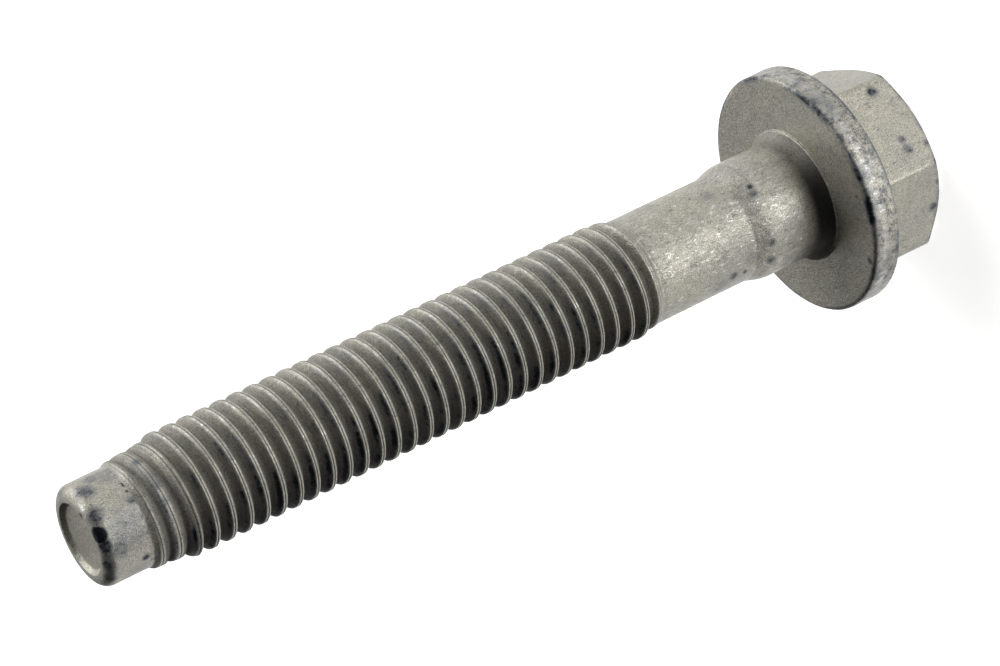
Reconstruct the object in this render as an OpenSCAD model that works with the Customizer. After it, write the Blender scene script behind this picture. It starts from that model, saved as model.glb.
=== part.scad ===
// Hexagon flange bolt with a rolled thread, a reduced shank, a locating neck
// and a smooth pilot that leads the thread into its nut.
// The bolt stands on its head: z = 0 is the end of the hexagon, the tip points up.
// All sizes are in millimetres.

/* [Bolt] */
// Length from the bearing face of the flange to the end of the tip
bolt_length = 80; // [72:0.5:95]

/* [Head] */
// Height of the head from the bearing face to the end of the hexagon
head_height = 11; // [9.5:0.1:13]
// Width of the hexagon across its flats
hex_across_flats = 17.6; // [17.2:0.1:19]
// Radius of the worn corners of the hexagon
hex_corner_radius = 0.5; // [0.3:0.05:1.5]
// Diameter of the flat face at the end of the hexagon
hex_end_diameter = 17; // [14:0.1:17.1]
// Slope of the chamfer at the end of the hexagon, in degrees
hex_chamfer_angle = 30; // [15:1:40]
// Diameter of the flange
flange_diameter = 24.5; // [23:0.1:28]
// Thickness of the flange at its rim
flange_thickness = 3.1; // [2:0.1:4.5]
// Slope of the back of the flange towards the hexagon, in degrees
flange_back_angle = 18; // [5:1:25]
// Rounding of the rim's edge on the bearing side
rim_front_radius = 0.45; // [0.2:0.05:0.8]
// Rounding of the rim's edge on the hexagon side
rim_back_radius = 0.35; // [0.2:0.05:0.8]

/* [Under the head] */
// Diameter of the raised ring at the foot of the fillet
ring_diameter = 13.5; // [12.8:0.1:15]
// Height of the ring above the bearing face
ring_height = 0.2; // [0.1:0.05:0.5]
// Height of the hollow fillet above the ring
fillet_height = 1.5; // [1:0.1:3]

/* [Neck and shank] */
// Diameter of the locating neck under the head
neck_diameter = 11.8; // [11.5:0.05:12.4]
// Distance from the bearing face to the end of the neck's straight part
neck_length = 6.5; // [5:0.1:10]
// Height of the shoulder between the neck and the shank
shoulder_height = 2.4; // [1.5:0.1:4]
// Rounding of the shoulder where it leaves the neck
shoulder_radius = 4.4; // [2:0.1:6]
// Diameter of the plain shank
shank_diameter = 10.72; // [10.3:0.02:11]
// Distance from the bearing face to the start of the thread's run-out
grip_length = 19.3; // [14:0.1:30]

/* [Thread] */
// Diameter over the crests of the full thread
crest_diameter = 11.74; // [11.4:0.02:12]
// Diameter at the bottom of the thread groove
root_diameter = 9.82; // [9.5:0.02:10.2]
// Distance from one crest to the next
pitch = 1.75; // [1.5:0.05:2]
// Angle at which the first crest leaves the pilot, from a corner of the hexagon
thread_angle = 207; // [0:1:359]
// Width of the crest's top along the axis
crest_width = 0.42; // [0.2:0.02:0.6]
// Width of the groove's bottom along the axis
root_width = 0.22; // [0.1:0.02:0.4]
// Height over which the groove fades out beside the shank
runout_height = 2.8; // [1.75:0.05:6]
// Diameter over the low, rounded first turns, next to the full thread
lead_base_diameter = 10.86; // [10.2:0.02:11.3]
// Diameter over the low first turns, next to the pilot
lead_tip_diameter = 10.4; // [10:0.02:11]
// Height of the low first turns
lead_height = 4.3; // [3:0.1:8]
// Height over which the crest steps up from the first turns to full size
lead_step_height = 1.3; // [0.5:0.1:2.5]
// Height over which the first crest rises from the pilot
lead_fade_height = 0.9; // [0.4:0.05:1.7]

/* [Tip] */
// Diameter of the smooth pilot
pilot_diameter = 9.8; // [9.4:0.02:10.1]
// Height of the pilot, end rounding included
pilot_height = 4.4; // [3:0.1:8]
// Rounding of the pilot's end
end_radius = 1.1; // [0.5:0.05:1.6]
// Width of the flat land between the end's rounding and the dish
end_land = 0.3; // [0.05:0.05:0.6]
// Depth of the dish
dish_depth = 0.45; // [0.3:0.05:1.5]
// Slope of the dish's wall, in degrees
dish_wall_angle = 50; // [30:1:70]

/* [Hidden] */
$fn = 96;
// Straight pieces of each turn of the thread
turn_segments = 28;
// Straight pieces of each rounded edge, and of the longer fillet
edge_steps = 5;
fillet_steps = 8;
// How far the thread's core stays inside the shank and the pilot that it joins
core_inset = 0.05;
// How far pieces of the one solid run into each other
overlap = 0.2;

// Levels along the axis
face_z = head_height;
ring_z = face_z + ring_height;
fillet_z = ring_z + fillet_height;
neck_z = face_z + neck_length;
shoulder_z = neck_z + shoulder_height;
shank_z = face_z + grip_length;
tip_z = face_z + bolt_length;
pilot_z = tip_z - pilot_height;
lead_z = pilot_z - lead_height;
rim_back_z = face_z - flange_thickness;

// Radii
flange_r = flange_diameter / 2;
ring_r = ring_diameter / 2;
neck_r = neck_diameter / 2;
shank_r = shank_diameter / 2;
pilot_r = pilot_diameter / 2;
crest_r = crest_diameter / 2;
root_r = root_diameter / 2;
dish_r = pilot_r - end_radius - end_land;
dish_floor_r = dish_r - dish_depth / tan(dish_wall_angle);

// The fillet is an arc that leaves the neck smoothly and ends on the ring
fillet_rise = ring_r - neck_r;
fillet_radius = (fillet_height ^ 2 + fillet_rise ^ 2) / (2 * fillet_rise);
fillet_angle = atan2(fillet_height, fillet_radius - fillet_rise);

// The shoulder is a cone that ends in an arc on the neck, and the arc leaves room for the cone
shoulder_drop = neck_r - shank_r;
shoulder_arc_share = 0.95;
shoulder_arc_limit = (shoulder_height ^ 2 + shoulder_drop ^ 2) / (2 * shoulder_drop) * shoulder_arc_share;
shoulder_arc_r = min(shoulder_radius, shoulder_arc_limit);
shoulder_angle = cone_angle(shoulder_arc_r, shoulder_height, shoulder_drop);
// Slope of a cone that is tangent to an arc and covers the run and the drop together with it
function cone_angle(radius, run, drop) =
    2 * atan((run - sqrt(run ^ 2 + drop ^ 2 - 2 * radius * drop)) / (2 * radius - drop));

// The back of the flange slopes up to a hub inside the hexagon
hub_r = hex_across_flats / 2 - overlap;
hub_z = rim_back_z - (flange_r - rim_back_radius - hub_r) * tan(flange_back_angle);

// Angle from one corner of the hexagon to the next, and from a corner to the middle of a flat
hex_turn = 360 / 6;
hex_half_turn = hex_turn / 2;
// Hexagon corners before rounding, and the middles of their roundings
hex_corner_r = hex_across_flats / 2 / cos(hex_half_turn);
hex_inner_r = hex_corner_r - hex_corner_radius / cos(hex_half_turn);
hex_top_z = rim_back_z + overlap;
chamfer_height = (hex_corner_r - hex_end_diameter / 2) * tan(hex_chamfer_angle);

// Thread profile, from the start of one crest to the start of the next
flank_width = (pitch - crest_width - root_width) / 2;
profile_z = [0, crest_width, crest_width + flank_width, crest_width + flank_width + root_width];
profile_points = len(profile_z);

// The helix starts a turn inside the shank, and the pilot's foot falls in the middle of a segment
segment_height = pitch / turn_segments;
columns_to_pilot = ceil((pilot_z - shank_z + pitch + overlap) / segment_height) + 0.5;
thread_z = pilot_z - columns_to_pilot * segment_height;
thread_columns = ceil(columns_to_pilot + overlap / segment_height);

// Points of an arc between two angles
function arc(center, radius, from, to, steps) = [
    for (step = [0:steps])
        let (angle = from + (to - from) * step / steps)
        center + radius * [cos(angle), sin(angle)]
];

// Smooth step from 0 to 1
function ramp(x) = let (t = min(1, max(0, x))) t * t * (3 - 2 * t);
function mix(a, b, t) = a + (b - a) * t;

// Core radius where the thread has faded out, on the shank's side or the pilot's
function core_r(z) = (z < (shank_z + pilot_z) / 2 ? shank_r : pilot_r) - core_inset;
// 1 on the full groove, 0 inside the shank and the pilot
function groove(z) = ramp((z - shank_z) / runout_height) * ramp((pilot_z - z) / lead_fade_height);
// Crest radius before the thread fades out
function lead_r(z) = mix(lead_base_diameter, lead_tip_diameter, ramp((z - lead_z) / lead_height)) / 2;
function full_crest_r(z) = mix(crest_r, lead_r(z), ramp((z - lead_z) / lead_step_height + 0.5));
function crest_at(z) = mix(core_r(z), full_crest_r(z), groove(z));
function root_at(z) = mix(core_r(z), root_r, groove(z));

// Point i of the profile in column j of the right-hand helix
function thread_point(i, j) =
    let (angle = thread_angle + 360 * (j - columns_to_pilot) / turn_segments,
         z = thread_z + segment_height * j + profile_z[i],
         r = i < 2 ? crest_at(z) : root_at(z))
    [r * cos(angle), r * sin(angle), z];

// Number of that point in the list of points
function at(i, j) = j * profile_points + i;
function quad(a, b, c, d) = [[a, b, c], [a, c, d]];

// Hexagon with rounded corners, seen along the axis
module hexagon_outline() {
    polygon([
        for (turn = [0:hex_turn:360 - hex_turn])
            each arc(
                hex_inner_r * [cos(turn), sin(turn)], hex_corner_radius,
                turn - hex_half_turn, turn + hex_half_turn, edge_steps
            )
    ]);
}

// Half section that the hexagon's end is turned to
module chamfer_outline() {
    polygon([
        [0, 0],
        [hex_end_diameter / 2, 0],
        [hex_corner_r, chamfer_height],
        [hex_corner_r, hex_top_z],
        [0, hex_top_z],
    ]);
}

module hexagon() {
    intersection() {
        linear_extrude(hex_top_z) hexagon_outline();
        rotate_extrude() chamfer_outline();
    }
}

// Half section of the flange, the ring, the hollow fillet, the neck, the shoulder and the shank
module stem_outline() {
    rim_back = [flange_r - rim_back_radius, rim_back_z + rim_back_radius];
    rim_front = [flange_r - rim_front_radius, face_z - rim_front_radius];
    fillet_center = [neck_r + fillet_radius, fillet_z];
    shoulder_center = [neck_r - shoulder_arc_r, neck_z];
    polygon(concat(
        [[0, hub_z], [hub_r, hub_z]],
        arc(rim_back, rim_back_radius, -90, 0, edge_steps),
        arc(rim_front, rim_front_radius, 0, 90, edge_steps),
        [[ring_r, face_z]],
        arc(fillet_center, fillet_radius, 180 + fillet_angle, 180, fillet_steps),
        arc(shoulder_center, shoulder_arc_r, 0, shoulder_angle, edge_steps),
        [[shank_r, shoulder_z], [shank_r, shank_z], [0, shank_z]]
    ));
}

// Core and helical ridge of the thread as one closed skin
module thread() {
    columns = thread_columns;
    turn = turn_segments;
    last = profile_points - 1;
    top = columns - turn;
    foot = columns * profile_points + profile_points;
    peak = foot + 1;
    foot_edge = concat([for (j = [0:turn]) at(0, j)], [for (i = [last:-1:1]) at(i, 0)]);
    peak_edge = concat([for (j = [top:columns]) at(last, j)], [for (i = [last - 1:-1:0]) at(i, columns)]);
    points = concat(
        [for (j = [0:columns], i = [0:last]) thread_point(i, j)],
        [[0, 0, thread_z + pitch / 2], [0, 0, thread_point(0, columns).z + pitch / 2]]
    );
    within_turn = [for (j = [0:columns - 1], i = [0:last - 1])
        each quad(at(i, j), at(i + 1, j), at(i + 1, j + 1), at(i, j + 1))];
    to_next_turn = [for (j = [0:top - 1])
        each quad(at(last, j), at(0, j + turn), at(0, j + turn + 1), at(last, j + 1))];
    foot_fan = [for (k = [0:len(foot_edge) - 1])
        [foot, foot_edge[k], foot_edge[(k + 1) % len(foot_edge)]]];
    peak_fan = [for (k = [0:len(peak_edge) - 1])
        [peak, peak_edge[(k + 1) % len(peak_edge)], peak_edge[k]]];
    polyhedron(points, concat(within_turn, to_next_turn, foot_fan, peak_fan));
}

// Half section of the pilot with its rounded, dished end
module pilot_outline() {
    end_center = [pilot_r - end_radius, tip_z - end_radius];
    polygon(concat(
        [[0, pilot_z], [pilot_r, pilot_z]],
        arc(end_center, end_radius, 0, 90, fillet_steps),
        [[dish_r, tip_z], [dish_floor_r, tip_z - dish_depth], [0, tip_z - dish_depth]]
    ));
}

// The whole bolt, forged and rolled in one piece of steel
module bolt() {
    color("#b4b0a4") {
        hexagon();
        rotate_extrude() stem_outline();
        thread();
        rotate_extrude() pilot_outline();
    }
}

bolt();
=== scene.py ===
# %% [markdown]
# # A hexagon flange bolt
# The part is one piece of forged and rolled steel under a grey zinc-flake coat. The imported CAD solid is
# loaded first, as a fixed frame in metres: the head stands on the floor at z = 0 and the pilot points up.
# Everything that follows is built in that frame, so it fits the solid without being moved.

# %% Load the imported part
import math

import bmesh
import bpy
from mathutils import Matrix, Vector, noise


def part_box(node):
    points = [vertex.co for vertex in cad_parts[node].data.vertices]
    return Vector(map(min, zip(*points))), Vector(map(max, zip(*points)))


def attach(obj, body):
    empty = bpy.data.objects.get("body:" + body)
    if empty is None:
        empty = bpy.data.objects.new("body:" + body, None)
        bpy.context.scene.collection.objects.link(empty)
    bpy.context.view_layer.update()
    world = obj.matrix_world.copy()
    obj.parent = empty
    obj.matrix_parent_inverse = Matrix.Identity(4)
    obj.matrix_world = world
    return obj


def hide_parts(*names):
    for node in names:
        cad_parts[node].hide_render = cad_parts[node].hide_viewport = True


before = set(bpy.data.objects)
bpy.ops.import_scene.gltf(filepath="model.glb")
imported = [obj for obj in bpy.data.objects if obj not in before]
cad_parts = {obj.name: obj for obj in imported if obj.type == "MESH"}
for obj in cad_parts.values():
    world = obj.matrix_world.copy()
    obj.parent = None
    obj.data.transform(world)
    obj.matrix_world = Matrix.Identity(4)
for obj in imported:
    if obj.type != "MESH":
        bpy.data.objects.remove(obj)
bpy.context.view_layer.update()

MM = 0.001
box_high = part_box("bolt")[1]
flange_r = box_high.x / MM
tip_z = box_high.z / MM
print(f"frame: flange {2 * flange_r:.2f} mm across, bolt {tip_z:.2f} mm tall")

# %% [markdown]
# ## Sizes
# A bolt is described by a short list of diameters and heights. The flange and the whole height come from
# the frame, and the rest are the sizes that the CAD solid was built from, in millimetres. Radii are written
# as half a diameter, because a drawing gives diameters.

# %% Sizes of the head and the stem, in millimetres
HEX_ACROSS_FLATS = 17.6
HEX_CORNER_ROUNDING = 0.5
HEX_END_R = 17 / 2
HEX_END_ROUNDING = 0.6
HEX_CHAMFER_ROUNDING = 0.45
HEX_FOOT_ROUNDING = 0.6
HEX_CHAMFER_SLOPE = math.tan(math.radians(30))
FLANGE_THICKNESS = 3.1
FLANGE_BACK_SLOPE = math.tan(math.radians(18))
RIM_BACK_ROUNDING = 0.35
RIM_FRONT_ROUNDING = 0.45
FACE_Z = 11.0
RING_R = 13.5 / 2
RING_HEIGHT = 0.2
RING_FOOT_ROUNDING = 0.1
RING_EDGE_ROUNDING = 0.05
FILLET_HEIGHT = 1.5
NECK_R = 11.8 / 2
NECK_END_Z = FACE_Z + 6.5
SHOULDER_HEIGHT = 2.4
SHOULDER_ROUNDING = 4.4
SHANK_R = 10.72 / 2
SHANK_BLEND_ROUNDING = 0.8
SHANK_END_Z = FACE_Z + 19.3
RIM_BACK_Z = FACE_Z - FLANGE_THICKNESS
RING_Z = FACE_Z + RING_HEIGHT
FILLET_Z = RING_Z + FILLET_HEIGHT
print(f"head: {HEX_ACROSS_FLATS} mm across flats, face at {FACE_Z} mm, shank ends at {SHANK_END_Z} mm")

# %% Sizes of the thread and the pilot, in millimetres
PITCH = 1.75
CREST_R = 11.74 / 2
ROOT_R = 9.82 / 2
CREST_WIDTH = 0.42
THREAD_ANGLE = 207
RUNOUT_HEIGHT = 2.8
LEAD_BASE_R = 10.86 / 2
LEAD_TIP_R = 10.4 / 2
LEAD_HEIGHT = 4.3
LEAD_STEP_HEIGHT = 1.3
LEAD_FADE_HEIGHT = 0.9
PILOT_R = 9.8 / 2
PILOT_Z = tip_z - 4.4
LEAD_Z = PILOT_Z - LEAD_HEIGHT
END_ROUNDING = 1.1
END_LAND = 0.3
DISH_R = PILOT_R - END_ROUNDING - END_LAND
DISH_DEPTH = 0.45
DISH_EDGE_ROUNDING = 0.12
DISH_FLOOR_ROUNDING = 0.3
DISH_FLOOR_R = DISH_R - DISH_DEPTH / math.tan(math.radians(50))
print(f"thread: {PITCH} mm pitch, {(PILOT_Z - SHANK_END_Z) / PITCH:.1f} turns, pilot from {PILOT_Z:.1f} mm")

# %% [markdown]
# ## Helpers for every tree
# The thread is a Geometry Nodes tree, and the coat, the floor and the world are shader trees. All of them
# are built by the same small function: it adds a node, sets its options, and fills or links its inputs.
# Four more functions stand for the nodes that are needed most, and a last one reads colours.

# %% Add nodes
def add(tree, kind, inputs=(), **settings):
    """Adds a node, sets its options, and links each input to a socket or fills it with a value."""
    node = tree.nodes.new(kind)
    for name, value in settings.items():
        setattr(node, name, value)
    pairs = inputs.items() if isinstance(inputs, dict) else enumerate(inputs)
    for place, value in pairs:
        if isinstance(value, bpy.types.NodeSocket):
            tree.links.new(value, node.inputs[place])
        else:
            node.inputs[place].default_value = value
    return node


def combine(tree, operation, *values):
    """One step of arithmetic."""
    return add(tree, "ShaderNodeMath", values, operation=operation).outputs[0]


def ramp(tree, value, start, end, low, high, **settings):
    """Level that runs from low to high while a value runs from start to end."""
    return add(tree, "ShaderNodeMapRange", [value, start, end, low, high], **settings).outputs[0]


def smooth_ramp(tree, value, start, end, low, high):
    """Ramp that starts and ends gently."""
    return ramp(tree, value, start, end, low, high, interpolation_type="SMOOTHSTEP")


def blend(tree, share, under, over):
    """Level that goes from one value to another with a share from 0 to 1."""
    return add(tree, "ShaderNodeMix", {0: share, 2: under, 3: over}).outputs[0]


def linear(hex_colour):
    """Linear colour for the renderer from an sRGB hex value such as #b4b0a4."""
    parts = [int(hex_colour[i:i + 2], 16) / 255 for i in (1, 3, 5)]
    return [c / 12.92 if c <= 0.04045 else ((c + 0.055) / 1.055) ** 2.4 for c in parts] + [1]


print("helpers of every tree: add, combine, ramp, smooth_ramp, blend, linear")

# %% [markdown]
# ## The zinc-flake coat
# The steel is dipped, spun and baked in a paint of zinc and aluminium flakes. The flakes lie nearly flat,
# so the coat is a pale warm grey, half metal and half matt paint, with a fine grain. An image could carry
# it, but would need an unwrapping and would blur from near. Here noise at real sizes, in the bolt's own
# coordinates, makes the grain, the flecks, the blotches and the clouds.

# %% Start the coat's material
coat = bpy.data.materials.new("zinc_flake_coated_steel")
coat.use_nodes = True
shade = coat.node_tree
shade.nodes.clear()
place = add(shade, "ShaderNodeTexCoord").outputs["Object"]
print("material:", coat.name)


# %% Helpers for the coat
def paint(share, under, over):
    """Colour laid over another one with a share from 0 to 1."""
    return add(shade, "ShaderNodeMix", {0: share, 6: under, 7: over}, data_type="RGBA").outputs[2]


def coat_noise(lump, detail, roughness, where):
    """Noise over the coat, with its largest lumps of a size in metres."""
    return add(shade, "ShaderNodeTexNoise", {
        "Vector": where, "Scale": 1 / lump, "Detail": detail, "Roughness": roughness}).outputs["Fac"]


print("helpers of the coat: paint, coat_noise")

# %% Noises at real sizes
GRAIN = 0.13 * MM
FLECK = 0.4 * MM
FLECK_STRETCH = 0.45
BLOTCH = 1.1 * MM
CLOUD = 4.0 * MM
along_stem = add(shade, "ShaderNodeMapping", {"Vector": place, "Scale": (1, 1, FLECK_STRETCH)}).outputs[0]
grain = coat_noise(GRAIN, 2.0, 0.6, place)
fleck = coat_noise(FLECK, 3.0, 0.65, along_stem)
blotch = coat_noise(BLOTCH, 8.0, 0.88, place)
cloud = coat_noise(CLOUD, 3.0, 0.55, place)
print(f"noises with lumps of {GRAIN / MM:.2f}, {FLECK / MM:.1f}, {BLOTCH / MM:.1f} and {CLOUD / MM:.1f} mm")

# %% Colour of the sound coat
WARM_COAT = linear("#b0ac9f")  # zinc and aluminium flakes, baked
COOL_COAT = linear("#a8a69c")  # the same, where the coat is thinner
DARK_FLECK = linear("#5d6168")  # pores between the flakes
tone = paint(ramp(shade, cloud, 0.38, 0.62, 0.0, 1.0), WARM_COAT, COOL_COAT)
speckle = ramp(shade, grain, 0.3, 0.7, 0.55, 1.4, clamp=False)
mottle = ramp(shade, blotch, 0.35, 0.65, 0.82, 1.22, clamp=False)
texture = combine(shade, "MULTIPLY", speckle, mottle)
speckled = add(shade, "ShaderNodeVectorMath", {0: tone, "Scale": texture}, operation="SCALE").outputs[0]
sound_coat = paint(ramp(shade, fleck, 0.4, 0.3, 0.0, 0.65), speckled, DARK_FLECK)
print("sound coat: #b0ac9f to #a8a69c, pores #5d6168")

# %% [markdown]
# ## Marks on this bolt
# Loose bolts knock against each other, and each knock leaves a small dark bruise in the coat. The marks
# could be painted on an image, but then they would depend on an unwrapping. Here each mark is a place on
# the bolt with a size, and the coat is likelier to be bruised near it. Noise then decides, so no mark is a
# clean circle. The places were picked in the photograph, and the fitted camera gave where on the
# bolt they lie.

# %% Dark marks
MARK_CORE = 0.2
MARKS = [
    # angle in degrees, radius, height and size in millimetres, strength
    # rounded end
    # the first mark is partly a painted dark reflection on the rounded end
    (13, 4.5, 90.7, 1.25, 1.3), (47, 3.7, 91.0, 0.6, 0.85), (65, 4.9, 89.8, 2.6, 0.66),
    (33, 4.8, 90.3, 2.2, 0.67), (-2, 4.6, 90.6, 1.8, 0.7), (-26, 4.4, 90.8, 1.8, 0.66),
    (-48, 4.5, 90.7, 1.8, 0.6),
    # pilot
    (80, 4.9, 88.5, 2.0, 0.62), (31, 4.9, 86.8, 1.2, 0.66), (-35, 4.9, 87.2, 0.9, 0.8),
    (-10, 4.9, 89.4, 2.4, 0.62), (19, 4.9, 88.4, 0.5, 0.6), (5, 4.9, 88.0, 5.5, 0.57),
    (75, 4.9, 87.5, 4.0, 0.53), (-60, 4.9, 88.0, 4.0, 0.57),
    # lead turns
    (66, 5.3, 84.5, 1.2, 0.64), (33, 5.3, 84.3, 1.2, 0.64), (15, 5.3, 84.4, 1.2, 0.64),
    (45, 5.3, 84.0, 1.8, 0.5),
    # shank and shoulder
    (-40, 5.4, 21.2, 0.6, 0.78), (-38, 5.4, 22.6, 1.4, 0.67), (43, 5.9, 18.1, 0.9, 0.68),
    (36, 5.8, 18.2, 1.1, 0.66), (-15, 5.8, 18.3, 1.0, 0.68), (-35, 5.8, 18.4, 1.2, 0.67),
    (-25, 5.4, 20.5, 2.4, 0.52), (-45, 5.4, 24.0, 2.8, 0.52), (-8, 5.4, 23.5, 1.8, 0.48),
    (58, 5.4, 22.0, 2.4, 0.5),
    # flange and hexagon
    (3, 10.6, 11.0, 0.6, 0.62), (-32, 11.5, 11.0, 1.0, 0.7), (54, 9.6, 2.9, 1.5, 0.7),
    (20, 9.0, 2.9, 1.1, 0.66), (13, 9.2, 2.9, 1.3, 0.66), (-33, 8.8, 0.8, 1.5, 0.68),
    (31, 9.2, 0.5, 0.9, 0.64), (12, 9.6, 0.6, 1.4, 0.66), (0, 10.0, 0.8, 1.3, 0.68),
    (-14, 9.3, 0.5, 1.1, 0.64),
]
marked = 0.0
for mark_angle, mark_r, mark_z, mark_size, strength in MARKS:
    mark_turn = math.radians(mark_angle)
    mark_place = Vector((mark_r * math.cos(mark_turn), mark_r * math.sin(mark_turn), mark_z)) * MM
    away = add(shade, "ShaderNodeVectorMath", [place, mark_place], operation="DISTANCE").outputs["Value"]
    near_mark = ramp(shade, away, mark_size * MM, MARK_CORE * mark_size * MM, 0.0, strength)
    marked = combine(shade, "MAXIMUM", near_mark, marked)
print(len(MARKS), "marks")

# %% [markdown]
# ## Wear, painted shade and painted highlight
# Handling leaves wear, and the mesh will carry four masks for it: grime in the hollows, which is also
# painted shade there, scuffs on the rim, burnish where the coat is rubbed bright, which is also painted
# highlight and glints, and bruises on edges that knock. A mask alone would look airbrushed. So all but the
# grime are mixed with noise and cut off by a ramp, and the wear breaks into flecks and patches.

# %% Grime with painted shade, and scuffs
GRIME_AND_SHADE = linear("#11110e")  # dirt in old oil, and painted shade in the hollows
SCUFF = linear("#434954")  # coat rubbed down to dark zinc


def wear_and_painted_light_mask(name):
    """A mask that the mesh carries, from 0 to 1, for wear and for painted shade and highlight."""
    return add(shade, "ShaderNodeAttribute", attribute_name=name).outputs["Fac"]


grime_and_shade = wear_and_painted_light_mask("grime_and_shade")
# painted shade: the grime mask darkens the fillet, the thread's roots and the crests' lap, partly real dirt
dirtied_and_shaded = paint(grime_and_shade, sound_coat, GRIME_AND_SHADE)
scuff_share = ramp(shade, combine(shade, "SUBTRACT", wear_and_painted_light_mask("scuffed"), blotch), 0.09, 0.2, 0.0, 0.85)
scuffed_coat = paint(scuff_share, dirtied_and_shaded, SCUFF)
print("grime #11110e, scuffs #434954")

# %% Rubbed bright, with painted highlights and glints
BRIGHT_AND_HIGHLIGHT = linear("#d4d3d0")  # burnished zinc, also painted highlights and glints
up_the_stem = add(shade, "ShaderNodeSeparateXYZ", [place]).outputs["Z"]
past_fillet = ramp(shade, up_the_stem, (FILLET_Z + 1) * MM, (FILLET_Z + 2) * MM, 0.1, 1.0)
before_pilot = ramp(shade, up_the_stem, LEAD_Z * MM, PILOT_Z * MM, 1.0, 0.1)
on_stem = combine(shade, "MINIMUM", past_fillet, before_pilot)
clean_unshaded_stem = combine(shade, "MULTIPLY", on_stem, ramp(shade, grime_and_shade, 0.1, 0.4, 1.0, 0.0))
# painted glints: bright flecks on the clean stem, partly bright zinc flakes
fleck_and_glint = combine(shade, "MULTIPLY", ramp(shade, fleck, 0.58, 0.66, 0.0, 0.65), clean_unshaded_stem)
rubbed_and_highlight = ramp(shade, combine(shade, "MULTIPLY", wear_and_painted_light_mask("burnished_and_highlight"), fleck), 0.3, 0.55, 0.0, 1.0)
bright_and_highlight_share = combine(shade, "MAXIMUM", fleck_and_glint, rubbed_and_highlight)
bright_and_highlit_coat = paint(bright_and_highlight_share, scuffed_coat, BRIGHT_AND_HIGHLIGHT)
print("rubbed coat #d4d3d0")

# %% Bruised dark, with one painted dark reflection
HALO = linear("#4d5562")  # pressed coat round a bruise, bluish
BRUISE_AND_DARK_REFLECTION = linear("#14171f")  # crushed coat, blue-black; one spot on the end is a painted dark reflection
in_stretches = ramp(shade, cloud, 0.42, 0.6, 0.74, 1.14)
edge_knocks = combine(shade, "MULTIPLY", wear_and_painted_light_mask("bruised"), in_stretches)
knocked_and_reflected = combine(shade, "MAXIMUM", edge_knocks, marked)
ragged = combine(shade, "ADD", knocked_and_reflected, blend(shade, 0.4, blotch, fleck))
haloed_coat = paint(ramp(shade, ragged, 0.88, 1.16, 0.0, 0.72), bright_and_highlit_coat, HALO)
worn_coat = paint(ramp(shade, ragged, 1.11, 1.25, 0.0, 1.0), haloed_coat, BRUISE_AND_DARK_REFLECTION)
print("bruises #14171f in halos #4d5562")

# %% Finish the coat's material
EVEN_RELIEF = 1.5
CRINKLED_RELIEF = 3.0
smoothed = blend(shade, bright_and_highlight_share, ramp(shade, grain, 0.3, 0.7, 0.28, 0.4), 0.22)
dulled = blend(shade, grime_and_shade, smoothed, 0.85)
metallic = blend(shade, bright_and_highlight_share, ramp(shade, grime_and_shade, 0.0, 1.0, 0.48, 0.0), 0.9)
past_neck = ramp(shade, up_the_stem, NECK_END_Z * MM, (NECK_END_Z + SHOULDER_HEIGHT) * MM,
                 EVEN_RELIEF, CRINKLED_RELIEF)
before_thread = ramp(shade, up_the_stem, SHANK_END_Z * MM, (SHANK_END_Z + RUNOUT_HEIGHT) * MM,
                     CRINKLED_RELIEF, EVEN_RELIEF)
crinkle = combine(shade, "MINIMUM", past_neck, before_thread)
relief = combine(shade, "MULTIPLY_ADD", fleck, crinkle, grain)
bump = add(shade, "ShaderNodeBump", {"Strength": 0.8, "Distance": 0.05 * MM, "Height": relief})
steel = add(shade, "ShaderNodeBsdfPrincipled", {
    "Base Color": worn_coat, "Metallic": metallic, "Roughness": dulled, "Normal": bump.outputs["Normal"]})
add(shade, "ShaderNodeOutputMaterial", {"Surface": steel.outputs[0]})
print("coat:", len(shade.nodes), "nodes")

# %% [markdown]
# ## The rolled thread
# A thread is a rule: one section, carried round the axis and one pitch forward for each turn. It could be a
# screw modifier on a drawn profile, but that can't fade out. Here a flat grid is one long strip, with a
# column for each step round the axis and a row for each step across the section, and nodes wind it up. Two
# curves hold the section: the full one has a rolled crest with a fine lap in its middle, and the low lead
# turns have a plain round one. Three more curves say where the section is rubbed bright, which is also
# painted highlight on the crests, where it is bruised, and where it is grimy, which is also painted shade
# in the roots, on the flanks and in the lap.
# Heights below the shank's end and above the pilot's foot are clamped, so both ends close into even rings.

# %% Inputs of the thread's tree
SEGMENTS = 96
ROWS = 20
CREST_UNEVENNESS = 0.05
thread_tree = bpy.data.node_groups.new("rolled_thread", "GeometryNodeTree")
thread_tree.interface.new_socket("Geometry", in_out="OUTPUT", socket_type="NodeSocketGeometry")
first_root = PILOT_Z + CREST_WIDTH / 2 - PITCH * (THREAD_ANGLE / 360 + 0.5)
turns_below = math.ceil((first_root - SHANK_END_Z) / PITCH + 1)
thread_start = first_root - turns_below * PITCH
turns = math.ceil((PILOT_Z - thread_start) / PITCH + 1)
thread_sizes = {
    "Pitch": PITCH, "Start": thread_start, "Shank End": SHANK_END_Z, "Pilot Foot": PILOT_Z,
    "Run-out Top": SHANK_END_Z + RUNOUT_HEIGHT, "Lead Fade": PILOT_Z - LEAD_FADE_HEIGHT,
    "Lead Foot": LEAD_Z - LEAD_STEP_HEIGHT / 2, "Lead Step": LEAD_Z + LEAD_STEP_HEIGHT / 2, "Lead": LEAD_Z,
    "Crest": CREST_R, "Root": ROOT_R, "Shank": SHANK_R, "Pilot": PILOT_R,
    "Lead Base": LEAD_BASE_R, "Lead Tip": LEAD_TIP_R, "Unevenness": CREST_UNEVENNESS,
}
sockets = {
    name: thread_tree.interface.new_socket(name, in_out="INPUT", socket_type="NodeSocketFloat")
    for name in thread_sizes
}
sockets["Coat"] = thread_tree.interface.new_socket("Coat", in_out="INPUT", socket_type="NodeSocketMaterial")
size = add(thread_tree, "NodeGroupInput").outputs
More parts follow.
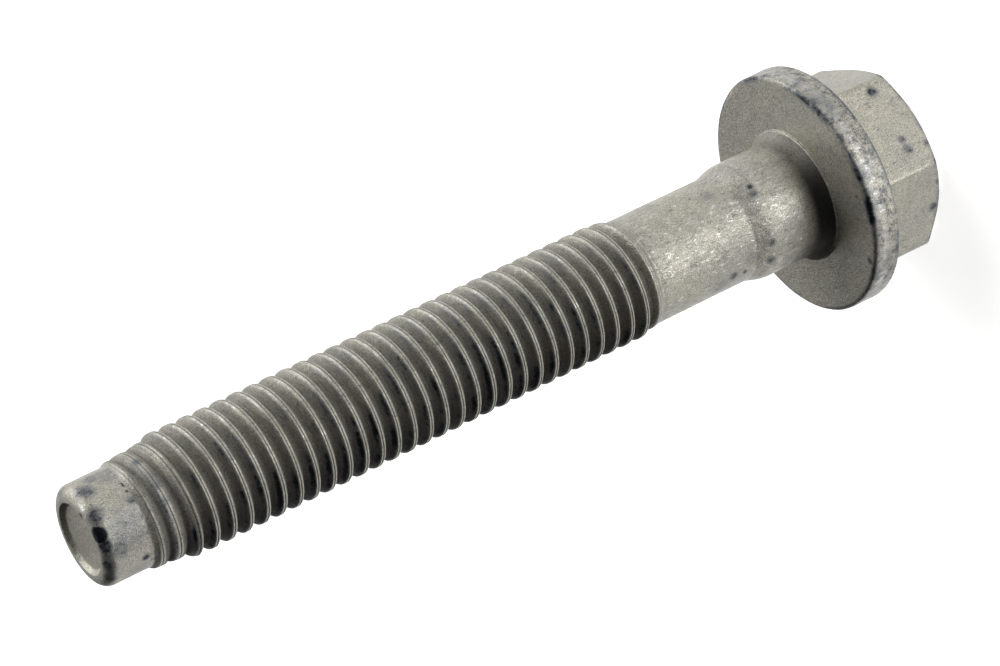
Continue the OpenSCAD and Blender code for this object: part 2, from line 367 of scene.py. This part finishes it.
print(f"thread strip: {turns} turns of {SEGMENTS} columns, {ROWS} rows across")

# %% Turn, share of the pitch and height of each point of the strip
CROWDING = 0.42
strip = add(thread_tree, "GeometryNodeMeshGrid", [turns, 1.0, turns * SEGMENTS + 1, ROWS + 1])
on_grid = add(thread_tree, "GeometryNodeInputPosition").outputs[0]
on_strip = add(thread_tree, "ShaderNodeSeparateXYZ", [on_grid]).outputs
turn = combine(thread_tree, "ADD", on_strip["X"], turns / 2)
across = combine(thread_tree, "ADD", on_strip["Y"], 0.5)
wave = combine(thread_tree, "SINE", combine(thread_tree, "MULTIPLY", across, math.tau))
share = combine(thread_tree, "MULTIPLY_ADD", wave, CROWDING / math.tau, across)
pitches = combine(thread_tree, "ADD", turn, share)
height = combine(thread_tree, "MULTIPLY_ADD", pitches, size["Pitch"], size["Start"])
print(f"rows are crowded by {CROWDING:.0%} towards the crest")

# %% Curves of the section
def draw_curve(points):
    """A curve node over the share of the pitch, through points (share, value)."""
    node = add(thread_tree, "ShaderNodeFloatCurve", [1.0, share])
    curve = node.mapping.curves[0]
    while len(curve.points) < len(points):
        curve.points.new(0.5, 0.5)
    for point, (x, y) in zip(curve.points, points):
        point.location = (x, y)
        point.handle_type = "AUTO_CLAMPED"
    node.mapping.update()
    return node.outputs[0]


full_section = draw_curve([
    (0, 0), (0.05, 0.0), (0.1, 0.09), (0.35, 0.9), (0.385, 0.975), (0.42, 1), (0.465, 0.99), (0.5, 0.955),
    (0.535, 0.99), (0.58, 1), (0.615, 0.975), (0.65, 0.9), (0.9, 0.09), (0.95, 0.0), (1, 0)])
lead_section = draw_curve([
    (0, 0), (0.05, 0.1), (0.14, 0.6), (0.25, 0.92), (0.5, 1), (0.75, 0.92),
    (0.86, 0.6), (0.95, 0.1), (1, 0)])
# painted highlight: the burnished lips brighten the crests' edges, partly real rubbing
burnished_highlit_lips = draw_curve([
    (0, 0), (0.36, 0), (0.4, 0.45), (0.45, 0.1), (0.56, 0.2), (0.6, 0.85), (0.62, 0.75), (0.65, 0), (1, 0)])
bruised_lips = draw_curve([
    (0, 0), (0.36, 0.0), (0.4, 0.35), (0.46, 0.1), (0.6, 0.1), (0.65, 0.6), (0.74, 0.68), (0.9, 0), (1, 0)])
# painted shade: darker in the roots, on the flanks and in the crest's lap, partly grime
grimy_shaded_groove = draw_curve([
    (0, 0.72), (0.1, 0.68), (0.25, 0.6), (0.36, 0.4), (0.44, 0), (0.47, 0.3), (0.5, 0.9), (0.53, 0.3),
    (0.56, 0), (0.64, 0.14), (0.75, 0.28), (0.9, 0.55), (1, 0.72)])
print("section curves: full, lead, burnished lips, bruised lips, grimy groove")

# %% Radius of each point
runs_in = smooth_ramp(thread_tree, height, size["Shank End"], size["Run-out Top"], 0.0, 1.0)
runs_out = smooth_ramp(thread_tree, height, size["Lead Fade"], size["Pilot Foot"], 1.0, 0.0)
depth = combine(thread_tree, "MULTIPLY", runs_in, runs_out)
in_lead = smooth_ramp(thread_tree, height, size["Lead Foot"], size["Lead Step"], 0.0, 1.0)
lead_crest = smooth_ramp(thread_tree, height, size["Lead"], size["Pilot Foot"],
                         size["Lead Base"], size["Lead Tip"])
crest = blend(thread_tree, in_lead, size["Crest"], lead_crest)
core = ramp(thread_tree, height, size["Run-out Top"], size["Lead Fade"], size["Shank"], size["Pilot"])
section = blend(thread_tree, in_lead, full_section, lead_section)
cut = blend(thread_tree, section, size["Root"], crest)
radius = blend(thread_tree, depth, core, cut)
print(f"radius runs from {ROOT_R} mm in the root to {CREST_R} mm on the crest")

# %% Wind the strip up
upright = add(thread_tree, "ShaderNodeClamp", [height, size["Shank End"], size["Pilot Foot"]]).outputs[0]
spoke = add(thread_tree, "ShaderNodeCombineXYZ", {"X": radius, "Z": upright}).outputs[0]
scaled = add(thread_tree, "ShaderNodeVectorMath", {0: spoke, "Scale": MM}, operation="SCALE").outputs[0]
turn_angle = combine(thread_tree, "MULTIPLY", turn, math.tau)
wound = add(thread_tree, "ShaderNodeVectorRotate", {"Vector": scaled, "Angle": turn_angle},
            rotation_type="Z_AXIS").outputs[0]
print("strip wound round the axis")

# %% Masks of the thread: wear, painted shade and painted highlight
KNOCKED_SIDE = -0.9
KNOCKED_MEAN = 0.82
KNOCKED_SWING = 0.26
# painted shade: the grime mask is weaker on the side that faces the upper lights and stronger away from them
CLEAN_LIT_SIDE = 1.4
GRIME_AND_SHADE_MEAN = 1.12
GRIME_AND_SHADE_SWING = -0.3
STRIP_WELD = 0.001 * MM
knocked_side = combine(thread_tree, "COSINE", combine(thread_tree, "ADD", turn_angle, -KNOCKED_SIDE))
knocks = combine(thread_tree, "MULTIPLY_ADD", knocked_side, KNOCKED_SWING, KNOCKED_MEAN)
clean_lit_side = combine(thread_tree, "COSINE", combine(thread_tree, "ADD", turn_angle, -CLEAN_LIT_SIDE))
settled_and_shaded = combine(thread_tree, "MULTIPLY_ADD", clean_lit_side, GRIME_AND_SHADE_SWING, GRIME_AND_SHADE_MEAN)
masks = {
    "burnished_and_highlight": burnished_highlit_lips,
    "bruised": combine(thread_tree, "MULTIPLY", bruised_lips, knocks),
    "grime_and_shade": combine(thread_tree, "MULTIPLY", grimy_shaded_groove, settled_and_shaded),
    "crest": section,
}
mesh_so_far = strip.outputs["Mesh"]
for mask_name, mask_level in masks.items():
    faded = combine(thread_tree, "MULTIPLY", mask_level, depth)
    mesh_so_far = add(thread_tree, "GeometryNodeStoreNamedAttribute", {
        "Geometry": mesh_so_far, "Name": mask_name, "Value": faded}).outputs[0]
wind = add(thread_tree, "GeometryNodeSetPosition", {"Geometry": mesh_so_far, "Position": wound}).outputs[0]
closed = add(thread_tree, "GeometryNodeMergeByDistance", {
    "Geometry": wind, "Distance": STRIP_WELD}).outputs[0]
print("masks stored:", *masks)

# %% Make the crests a little uneven, as rolling leaves them
RIPPLE = 1.1 * MM
crest_mask = add(thread_tree, "GeometryNodeInputNamedAttribute", {"Name": "crest"},
                 data_type="FLOAT").outputs[0]
on_thread = add(thread_tree, "GeometryNodeInputPosition").outputs[0]
ripple = add(thread_tree, "ShaderNodeTexNoise", {"Vector": on_thread, "Scale": 1 / RIPPLE}).outputs[0]
swing = combine(thread_tree, "SUBTRACT", ripple, 0.5)
swing_mm = combine(thread_tree, "MULTIPLY", swing, size["Unevenness"])
crest_swing = combine(thread_tree, "MULTIPLY", swing_mm, crest_mask)
push = combine(thread_tree, "MULTIPLY", crest_swing, MM)
normal = add(thread_tree, "GeometryNodeInputNormal").outputs[0]
outward = add(thread_tree, "ShaderNodeVectorMath", {0: normal, "Scale": push}, operation="SCALE").outputs[0]
uneven = add(thread_tree, "GeometryNodeSetPosition", {"Geometry": closed, "Offset": outward}).outputs[0]
real = add(thread_tree, "GeometryNodeRealizeInstances", [uneven]).outputs[0]
coated = add(thread_tree, "GeometryNodeSetMaterial", {"Geometry": real, "Material": size["Coat"]}).outputs[0]
add(thread_tree, "NodeGroupOutput", [coated])
print("thread tree:", len(thread_tree.nodes), "nodes")

# %% Run the tree and keep its plain mesh
holder = bpy.data.objects.new("thread_holder", bpy.data.meshes.new("thread_holder"))
bpy.context.scene.collection.objects.link(holder)
winding = holder.modifiers.new("winding", "NODES")
winding.node_group = thread_tree
for name, value in thread_sizes.items():
    winding[sockets[name].identifier] = float(value)
winding[sockets["Coat"].identifier] = coat
evaluated = holder.evaluated_get(bpy.context.evaluated_depsgraph_get())
thread_mesh = bpy.data.meshes.new_from_object(evaluated)
bpy.data.objects.remove(holder)
print(f"thread mesh: {len(thread_mesh.vertices)} points, {len(thread_mesh.polygons)} faces")

# %% [markdown]
# ## The forged head and the turned stem
# Everything else is round apart from the hexagon, so it is a loft of half sections set round the axis. Each
# half section is a chain of corners with small roundings, and only the hexagon's wall depends on the angle.
# Columns crowd towards the six corners and spread out evenly again on the flange, so that they meet the
# thread's columns.

# %% Half sections
EDGE_STEPS = 4
FILLET_STEPS = 12
SHOULDER_STEPS = 6
END_STEPS = 10
SUPPORT = 1.4


def bend(corners):
    """Points through corners (radius, height, rounding, extra rows before it), rounded off."""
    path = []
    for i, (r, z, rounding, rows) in enumerate(corners):
        corner = Vector((r, z))
        points = [corner]
        if rounding:
            back = Vector(corners[i - 1][:2]) - corner
            onward = Vector(corners[i + 1][:2]) - corner
            reach = rounding / math.tan(back.angle(onward) / 2)
            reach = min(reach, back.length / 3, onward.length / 3)
            steps = [step / EDGE_STEPS for step in range(EDGE_STEPS + 1)]
            a = back.normalized() * reach
            b = onward.normalized() * reach
            points = [corner + a * SUPPORT]
            points += [corner + a * (1 - t) ** 2 + b * t ** 2 for t in steps]
            points += [corner + b * SUPPORT]
        if path:
            start = path[-1]
            path += [start.lerp(points[0], (row + 1) / (rows + 1)) for row in range(rows)]
        path += points
    return path


def arc(center, radius, start, end, steps):
    """Points of an arc in the half section, with angles in degrees."""
    angles = [math.radians(start + (end - start) * step / steps) for step in range(steps + 1)]
    return [Vector((center[0] + radius * math.cos(a), center[1] + radius * math.sin(a))) for a in angles]


print("a rounded corner takes", EDGE_STEPS + 3, "points")

# %% Hexagon wall and the back of the flange
CORNER_R = HEX_ACROSS_FLATS / 2 / math.cos(math.radians(30))
CORNER_CENTER = CORNER_R - HEX_CORNER_ROUNDING / math.cos(math.radians(30))
CORNER_HALF_ANGLE = math.degrees(math.atan2(
    HEX_CORNER_ROUNDING / 2, CORNER_CENTER + HEX_CORNER_ROUNDING * math.cos(math.radians(30))))


def hex_wall(angle):
    """Radius of the hexagon's wall at an angle in degrees, with corners at 0, 60 and so on."""
    off = abs((angle + 30) % 60 - 30)
    if off > CORNER_HALF_ANGLE:
        return HEX_ACROSS_FLATS / 2 / math.cos(math.radians(30 - off))
    side = CORNER_CENTER * math.sin(math.radians(off))
    return CORNER_CENTER * math.cos(math.radians(off)) + math.sqrt(HEX_CORNER_ROUNDING ** 2 - side ** 2)


def flange_back(r):
    """Height of the sloping back of the flange at a radius."""
    return RIM_BACK_Z - (flange_r - RIM_BACK_ROUNDING - r) * FLANGE_BACK_SLOPE


print(f"hexagon: {2 * hex_wall(0):.2f} mm across its rounded corners")

# %% Head, neck and shank as one half section
fillet_rise = RING_R - NECK_R
fillet_rounding = (FILLET_HEIGHT ** 2 + fillet_rise ** 2) / (2 * fillet_rise)
fillet_angle = math.degrees(math.atan2(FILLET_HEIGHT, fillet_rounding - fillet_rise))
shoulder_drop = NECK_R - SHANK_R
shoulder_run = math.sqrt(SHOULDER_HEIGHT ** 2 + shoulder_drop ** 2 - 2 * SHOULDER_ROUNDING * shoulder_drop)
shoulder_angle = 2 * math.degrees(math.atan(
    (SHOULDER_HEIGHT - shoulder_run) / (2 * SHOULDER_ROUNDING - shoulder_drop)))
fillet_center = (NECK_R + fillet_rounding, FILLET_Z)
fillet = arc(fillet_center, fillet_rounding, 180 + fillet_angle, 180, FILLET_STEPS)
shoulder_center = (NECK_R - SHOULDER_ROUNDING, NECK_END_Z)
shoulder = arc(shoulder_center, SHOULDER_ROUNDING, 0, shoulder_angle, SHOULDER_STEPS)


def stem_section(angle):
    """Half section at an angle in degrees, from the middle of the head's end to the end of the shank."""
    wall = hex_wall(angle)
    return bend([
        (0, 0, 0, 0),
        (HEX_END_R, 0, HEX_END_ROUNDING, 4),
        (wall, (wall - HEX_END_R) * HEX_CHAMFER_SLOPE, HEX_CHAMFER_ROUNDING, 0),
        (wall, flange_back(wall), HEX_FOOT_ROUNDING, 5),
        (flange_r, flange_back(flange_r), RIM_BACK_ROUNDING, 3),
        (flange_r, FACE_Z, RIM_FRONT_ROUNDING, 3),
        (RING_R, FACE_Z, RING_FOOT_ROUNDING, 6),
        (*fillet[0], RING_EDGE_ROUNDING, 0),
        *[(*point, 0, 0) for point in fillet[1:]],
        *[(*point, 0, 0 if i else 5) for i, point in enumerate(shoulder)],
        (SHANK_R, NECK_END_Z + SHOULDER_HEIGHT, SHANK_BLEND_ROUNDING, 1),
        (SHANK_R, SHANK_END_Z, 0, 10),
    ])


print("stem section:", len(stem_section(0)), "points")

# %% Pilot with its rounded, dished end
def pilot_section(angle):
    """Half section from the pilot's foot to the middle of the dish, the same at every angle."""
    end_center = (PILOT_R - END_ROUNDING, tip_z - END_ROUNDING)
    rounded = arc(end_center, END_ROUNDING, 0, 90, END_STEPS)
    return bend([
        (PILOT_R, PILOT_Z, 0, 0),
        *[(*point, 0, 0 if i else 8) for i, point in enumerate(rounded)],
        (DISH_R, tip_z, DISH_EDGE_ROUNDING, 0),
        (DISH_FLOOR_R, tip_z - DISH_DEPTH, DISH_FLOOR_ROUNDING, 1),
        (0, tip_z - DISH_DEPTH, 0, 5),
    ])


print("pilot section:", len(pilot_section(0)), "points")

# %% [markdown]
# ## Join the bolt
# The lofts and the thread share their end rings, so welding points that coincide makes one closed skin.
# Forging and handling leave the skin slightly uneven, so each loft is moved by a few hundredths of a
# millimetre. The masks of wear, painted shade and painted highlight are set here, from the distance to each
# edge of the half section and the angle round the axis.

# %% Masks of wear, painted shade and painted highlight on the head, the stem and the pilot
# painted highlight: the neck and the shank are rubbed bright and also carry painted glints
NECK_RUBBED_AND_HIGHLIT = 0.64
SHANK_RUBBED_AND_HIGHLIT = 0.55
BRUISED_EDGES = [
    # radius, height, width in millimetres, strength
    (flange_r - 0.1, RIM_BACK_Z + 0.2, 0.45, 0.6),
    (NECK_R, NECK_END_Z + 0.4, 0.35, 0.46),
    (PILOT_R - 0.4, tip_z - 0.4, 0.9, 0.52),
    (PILOT_R, PILOT_Z, 0.35, 0.75),
]


def towards(angle, middle, width):
    """How near an angle is to a middle one, from 1 on it down to 0, with angles in degrees."""
    off = (angle - middle + 180) % 360 - 180
    return math.exp(-(off / width) ** 2)


def bruised_at(r, z, angle):
    """How likely the coat is bruised at a point of the half section, from 0 to 1."""
    wall = hex_wall(angle)
    hexagon_edge = (wall - 0.1, (wall - HEX_END_R) * HEX_CHAMFER_SLOPE, 0.5, 0.7)
    flange_edge = (flange_r - 0.15, FACE_Z - 0.05, 0.55 + 0.4 * towards(angle, 5, 50),
                   0.61 + 0.11 * towards(angle, 5, 45) + 0.06 * towards(angle, 70, 30))
    rim = (flange_r, FACE_Z - 1.2, 1.2, 0.5 + 0.03 * towards(angle, 75, 40))
    edges = [*BRUISED_EDGES, hexagon_edge, flange_edge, rim]
    return max(s * math.exp(-((r - er) ** 2 + (z - ez) ** 2) / w ** 2) for er, ez, w, s in edges)


def burnished_and_highlight_at(r, z, angle):
    """How burnished the coat is: rim, neck, shank and a spot on the rounded end, partly painted highlight.
    """
    if FILLET_Z + 1 < z <= SHANK_END_Z:
        return NECK_RUBBED_AND_HIGHLIT if z < NECK_END_Z + 0.2 else SHANK_RUBBED_AND_HIGHLIT
    rim = 0.8 * math.exp(-((r - flange_r) ** 2 + (z - FACE_Z + 1.2) ** 2) / 0.9 ** 2)
    # painted highlight: a bright spot on the rounded end, partly worn bare metal
    spot_off = (r - PILOT_R + 0.5) ** 2 + (z - tip_z + 0.2) ** 2
    spot = 1.2 * math.exp(-spot_off / 0.35 ** 2) * towards(angle, 56, 5)
    return max(rim, spot)


def grime_and_shade_at(r, z, angle):
    """Grime and painted shade in the hollow fillet, most on the camera's side, fading up the neck."""
    if not RING_Z - 0.05 < z < NECK_END_Z or r > RING_R - 0.04:
        return 0
    return (0.24 + 0.75 * towards(angle, -4, 72)) * math.exp(-(max(0, z - FILLET_Z + 0.3) / 0.9) ** 2)


def scuffed_at(r, z):
    """How scuffed the coat is: the flange's rim is rubbed to a bluish grey."""
    return 0.62 * math.exp(-(max(0, flange_r - r) / 0.5) ** 2) if RIM_BACK_Z - 0.3 < z < FACE_Z + 0.1 else 0


print(len(BRUISED_EDGES) + 3, "bruised edges")

# %% Loft a section round the axis
COLUMN_CROWDING = 0.85
UNEVEN = 0.03
UNEVEN_SIZE = 2.4
EVEN_FOOT = 0.5
EVEN_TIP = 0.3
SKIN_WELD = 0.002 * MM
SLIVER = 0.0001 * MM


def loft(skin, section_at):
    """Adds a closed band to the skin, with a column of the section at each step round the axis."""
    bruised_layer = skin.verts.layers.float["bruised"]
    burnished_and_highlight_layer = skin.verts.layers.float["burnished_and_highlight"]
    grime_and_shade_layer = skin.verts.layers.float["grime_and_shade"]
    scuffed_layer = skin.verts.layers.float["scuffed"]
    columns = []
    for k in range(SEGMENTS):
        even = 360 * k / SEGMENTS
        crowded = even - math.degrees(COLUMN_CROWDING / 6 * math.sin(math.radians(6 * even)))
        points = section_at(crowded)
        wall = hex_wall(crowded)
        column = []
        for row, (r, z) in enumerate(points):
            share = max(0, min(1, (flange_r - r) / (flange_r - wall))) if z < RIM_BACK_Z else 0
            angle = math.radians(even + (crowded - even) * share)
            spot = Vector((r * math.cos(angle), r * math.sin(angle), z))
            inside = 0 < row < len(points) - 1 and EVEN_FOOT < z < tip_z - EVEN_TIP
            shift = UNEVEN * noise.noise(spot / UNEVEN_SIZE) if inside else 0
            spot.xy *= 1 + shift / max(r, 1)
            vert = skin.verts.new(spot * MM)
            vert[bruised_layer] = bruised_at(r, z, crowded)
            vert[burnished_and_highlight_layer] = burnished_and_highlight_at(r, z, crowded)
            vert[grime_and_shade_layer] = grime_and_shade_at(r, z, crowded)
            vert[scuffed_layer] = scuffed_at(r, z)
            column.append(vert)
        columns.append(column)
    for column, following in zip(columns, columns[1:] + columns[:1]):
        for row in range(len(column) - 1):
            skin.faces.new((column[row], following[row], following[row + 1], column[row + 1]))


skin = bmesh.new()
skin.from_mesh(thread_mesh)
skin.verts.layers.float.new("scuffed")
loft(skin, stem_section)
loft(skin, pilot_section)
bmesh.ops.remove_doubles(skin, verts=skin.verts, dist=SKIN_WELD)
bmesh.ops.dissolve_degenerate(skin, edges=skin.edges, dist=SLIVER)
bmesh.ops.recalc_face_normals(skin, faces=skin.faces)
open_edges = sum(len(edge.link_faces) != 2 for edge in skin.edges)
print(f"skin: {len(skin.verts)} points, {len(skin.faces)} faces, {open_edges} open edges")

# %% The finished bolt
bolt_mesh = bpy.data.meshes.new("coated_bolt")
skin.to_mesh(bolt_mesh)
skin.free()
bpy.data.meshes.remove(thread_mesh)
bolt_mesh.materials.clear()
bolt_mesh.materials.append(coat)
bolt_mesh.shade_smooth()
bolt = bpy.data.objects.new("coated_bolt", bolt_mesh)
bpy.context.scene.collection.objects.link(bolt)
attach(bolt, "root")
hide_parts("bolt")
triangles = sum(len(face.vertices) - 2 for face in bolt_mesh.polygons)
print("bolt:", triangles, "triangles")

# %% [markdown]
# ## The camera
# The photograph looks down on the pilot's side with a long lens, and the picture is turned so that the bolt
# lies aslant, pilot at the lower left. The camera is placed by its direction and distance from a point on
# the axis, and turned until the axis climbs to the right at the angle measured in the picture.

# %% Camera
CAMERA_AZIMUTH = math.radians(17.8)
CAMERA_ELEVATION = math.radians(25.183)
CAMERA_DISTANCE = 330.09
AIM_HEIGHT = 45.8
AXIS_CLIMB = math.radians(25.738)
PICTURE_WIDTH = 1000
FOCAL_PIXELS = 3560
AIM_OFFSET_PIXELS = (1.47, -3.06)
toward_camera = Vector((
    math.cos(CAMERA_ELEVATION) * math.cos(CAMERA_AZIMUTH),
    math.cos(CAMERA_ELEVATION) * math.sin(CAMERA_AZIMUTH),
    math.sin(CAMERA_ELEVATION)))
below_axis = Vector((math.sin(CAMERA_AZIMUTH), -math.cos(CAMERA_AZIMUTH), 0))
along_axis = below_axis.cross(-toward_camera)
picture_right = along_axis * math.cos(AXIS_CLIMB) + below_axis * math.sin(AXIS_CLIMB)
picture_up = along_axis * math.sin(AXIS_CLIMB) - below_axis * math.cos(AXIS_CLIMB)
camera_data = bpy.data.cameras.new("camera")
camera_data.sensor_width = 36
camera_data.lens = camera_data.sensor_width * FOCAL_PIXELS / PICTURE_WIDTH
camera_data.shift_x = -AIM_OFFSET_PIXELS[0] / PICTURE_WIDTH
camera_data.shift_y = -AIM_OFFSET_PIXELS[1] / PICTURE_WIDTH
camera_data.clip_start = 0.01
camera = bpy.data.objects.new("camera", camera_data)
bpy.context.scene.collection.objects.link(camera)
turned = Matrix((picture_right, picture_up, toward_camera)).transposed()
aim = Vector((0, 0, AIM_HEIGHT * MM))
camera.matrix_world = Matrix.Translation(aim + toward_camera * CAMERA_DISTANCE * MM) @ turned.to_4x4()
bpy.context.scene.camera = camera
print(f"camera: {camera_data.lens:.1f} mm lens, {CAMERA_DISTANCE:.0f} mm from the axis")

# %% [markdown]
# ## Floor and light
# The photograph shows the bolt on plain white. Most light comes from low down on the head's side, from the
# picture's upper side and from behind the tip, and little from round the camera, so the hollow fillet stays
# black. Lamps alone could do that, but the low ones would stand in the floor. So the world carries soft
# lights in chosen directions, and the floor lets light through, like the glass of a light table. The camera
# sees the floor with the bolt's shadow on it, and reflections see white paper below the horizon.

# %% Floor
FLOOR_HALF = 1.5
floor_mesh = bpy.data.meshes.new("floor")
floor_corners = [(x * FLOOR_HALF, y * FLOOR_HALF, 0) for x, y in ((-1, -1), (1, -1), (1, 1), (-1, 1))]
floor_mesh.from_pydata(floor_corners, [], [(0, 1, 2, 3)])
floor = bpy.data.objects.new("floor", floor_mesh)
bpy.context.scene.collection.objects.link(floor)
print("floor:", 2 * FLOOR_HALF, "m square")

# %% White paper on the floor
PAPER_GLOW = 0.8
paper = bpy.data.materials.new("white_paper")
paper.use_nodes = True
sheet = paper.node_tree
sheet.nodes.clear()
seen = add(sheet, "ShaderNodeLightPath").outputs["Is Camera Ray"]
matt = add(sheet, "ShaderNodeBsdfDiffuse", {"Color": linear("#f4f4f2")})
glow = combine(sheet, "MULTIPLY", seen, PAPER_GLOW)
white = add(sheet, "ShaderNodeEmission", {"Color": linear("#ffffff"), "Strength": glow})
both = add(sheet, "ShaderNodeAddShader", [matt.outputs[0], white.outputs[0]])
add(sheet, "ShaderNodeOutputMaterial", {"Surface": both.outputs[0]})
floor_mesh.materials.append(paper)
floor.visible_glossy = False
floor.visible_diffuse = False
floor.visible_shadow = False
print("paper:", len(sheet.nodes), "nodes")

# %% Start the world
upper_side = -below_axis
near_side = Vector((toward_camera.x, toward_camera.y, 0)).normalized()


def studio_direction(near, upper, up):
    """Unit vector from its shares to the camera's side, to the picture's upper side and up."""
    return tuple((near_side * near + upper_side * upper + Vector((0, 0, up))).normalized())


studio = bpy.data.worlds.new("soft_studio")
bpy.context.scene.world = studio
studio.use_nodes = True
sky = studio.node_tree
sky.nodes.clear()
direction = add(sky, "ShaderNodeTexCoord").outputs["Generated"]


def facing(near, upper, up, start, end, low, high):
    """Smooth level from low to high, as the direction turns towards a studio direction."""
    turned_to = add(sky, "ShaderNodeVectorMath", [direction, studio_direction(near, upper, up)],
                    operation="DOT_PRODUCT").outputs["Value"]
    return smooth_ramp(sky, turned_to, start, end, low, high)


print("world:", studio.name)

# %% Lights round the bolt
LIGHTS = [
    # name, direction (to the camera's side, to the picture's upper side, up), spread in degrees, brightness
    ("bulb", (0.865, -0.1, -0.49), 12, 9.5),
    ("low_window", (0.72, -0.4, -0.56), 30, 1.2),
    ("low_lower_side", (0.29, -0.5, -0.82), 42, 1.2),
    ("low_upper_side", (0.1, 0.6, -0.8), 42, 0.9),
    ("front_upper", (0.74, 0.46, -0.49), 30, 1.1),
    ("front", (1.0, 0.0, 0.07), 11, 4.5),
    ("camera_side", (0.9, 0.0, 0.42), 24, 0.35),
    ("lower_side", (-0.1, -0.95, -0.3), 36, 0.2),
    ("upper_side", (0.1, 0.98, -0.1), 42, 0.2),
    ("back", (-0.91, 0.0, -0.42), 42, 1.2),
    ("upper_top", (-0.2, 0.84, 0.5), 42, 3.3),
    ("back_top", (-0.74, 0.36, 0.57), 42, 0.55),
]
FILL = 0.01
LIGHT_CORE = 0.2
level = FILL
for _, (near, upper, up), spread, brightness in LIGHTS:
    edge_cosine = math.cos(math.radians(spread))
    core_cosine = math.cos(math.radians(spread * LIGHT_CORE))
    light = facing(near, upper, up, edge_cosine, core_cosine, 0.0, brightness)
    level = combine(sky, "ADD", light, level)
print("lights:", *[light[0] for light in LIGHTS])

# %% What reflections and the camera see
light_path = add(sky, "ShaderNodeLightPath").outputs
paper_below = facing(0, 0, -1, 0.0, 0.1, 0.0, 1.0)
mirrored_paper = combine(sky, "MULTIPLY", light_path["Is Glossy Ray"], paper_below)
level = combine(sky, "MAXIMUM", level, mirrored_paper)
lighting = add(sky, "ShaderNodeBackground", {"Color": linear("#ffffff"), "Strength": level})
backdrop = add(sky, "ShaderNodeBackground", {"Color": linear("#ffffff"), "Strength": 1.0})
shown = add(sky, "ShaderNodeMixShader", [
    light_path["Is Camera Ray"], lighting.outputs[0], backdrop.outputs[0]])
add(sky, "ShaderNodeOutputWorld", {"Surface": shown.outputs[0]})
print("world:", len(sky.nodes), "nodes")

# %% Soft box behind the tip
LAMP_DIRECTION = (-0.68, 0.24, 0.69)
LAMP_DISTANCE = 0.45
LAMP_SIDE = 0.06
LAMP_RADIANCE = 6.0
lamp_data = bpy.data.lights.new("soft_box", "AREA")
lamp_data.size = LAMP_SIDE
lamp_data.energy = LAMP_RADIANCE * math.pi * LAMP_SIDE ** 2
lamp = bpy.data.objects.new("soft_box", lamp_data)
bpy.context.scene.collection.objects.link(lamp)
from_bolt = Vector(studio_direction(*LAMP_DIRECTION))
lamp.location = aim + from_bolt * LAMP_DISTANCE
lamp.rotation_euler = from_bolt.to_track_quat("Z", "Y").to_euler()
print("soft box at", [round(c, 3) for c in lamp.location], "m,", round(lamp_data.energy, 3), "W")

bpy.context.scene.view_settings.view_transform = "Standard"
